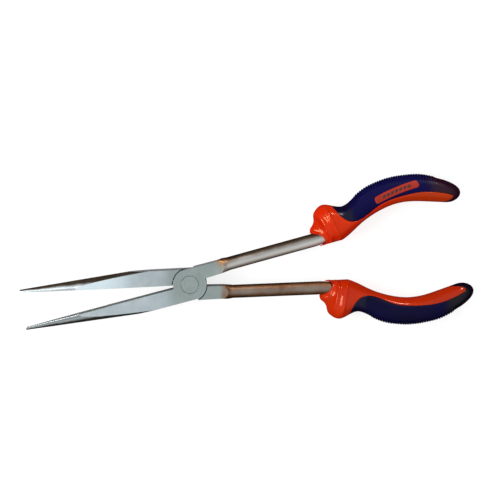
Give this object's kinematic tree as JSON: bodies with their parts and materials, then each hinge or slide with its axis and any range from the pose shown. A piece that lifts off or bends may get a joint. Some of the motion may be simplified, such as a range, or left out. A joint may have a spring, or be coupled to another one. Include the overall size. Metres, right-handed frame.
{
  "type": "long-reach needle nose pliers",
  "caption": "Long-reach needle nose pliers with slim tapered jaws, a riveted lap joint, long round shanks and curved two-colour grips with finger guards.",
  "frame": {"origin": "on the pivot axis, midway between the two flats of the lap joint", "axes": "+Z along the pivot axis, square to the joint's flats; +X along the middle line from the joint to the handles, jaws towards -X; +Y from the lower to the upper handle"},
  "size_m": [0.2772, 0.093, 0.0222],
  "materials": {
    "steel": "satin ground steel, brown heat tint behind the joint, darker forged edges",
    "rivet": "ground flush with the joint",
    "hard_grip": "glossy moulded red-orange plastic",
    "soft_grip": "satin dark blue soft plastic, finely ribbed on its back",
    "badge": "matt red-orange inlay"
  },
  "bodies": {
    "rear_half": {"rear_lever": "steel", "rear_grip_core": "hard_grip", "rear_grip_cover": "soft_grip", "rear_badge": "badge"},
    "front_half": {"front_lever": "steel", "pivot_rivet": "rivet", "front_grip_core": "hard_grip", "front_grip_cover": "soft_grip", "front_badge": "badge"}
  },
  "joints": [
    {"name": "jaw_pivot", "type": "hinge", "parent": "rear_half", "child": "front_half", "pos_m": [0, 0, 0], "axis": [0, 0, 1], "range_deg": [-12, 28]}
  ]
}
